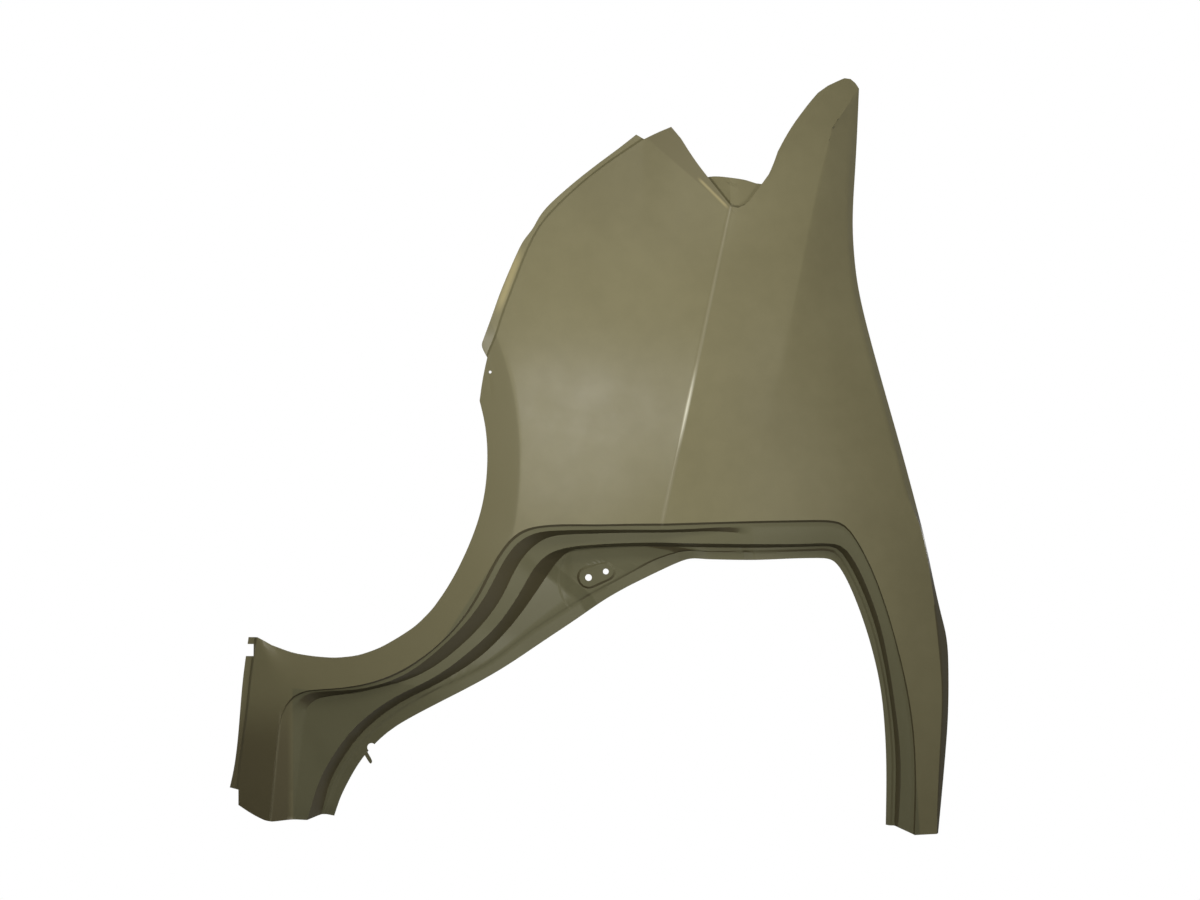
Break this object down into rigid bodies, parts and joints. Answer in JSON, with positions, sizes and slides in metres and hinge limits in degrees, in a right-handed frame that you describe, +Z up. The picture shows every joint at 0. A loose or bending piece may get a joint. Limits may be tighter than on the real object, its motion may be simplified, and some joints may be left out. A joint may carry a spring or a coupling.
{
  "type": "rear fender",
  "caption": "Rear fender of a small hatchback: pressed steel body panel with wheel arch, stepped door rebate, lamp notch and roof rail.",
  "frame": {"origin": "on the inner face of the sill flange, where the panel is welded to the sill", "axes": "+X toward the front of the car, +Z up, -Y outboard, as the panel stands on the car"},
  "size_m": [1.2408, 0.1683, 1.1758],
  "materials": {
    "olive_primer": "satin primer"
  },
  "bodies": {
    "root": {"fender_panel": "olive_primer"}
  },
  "joints": []
}
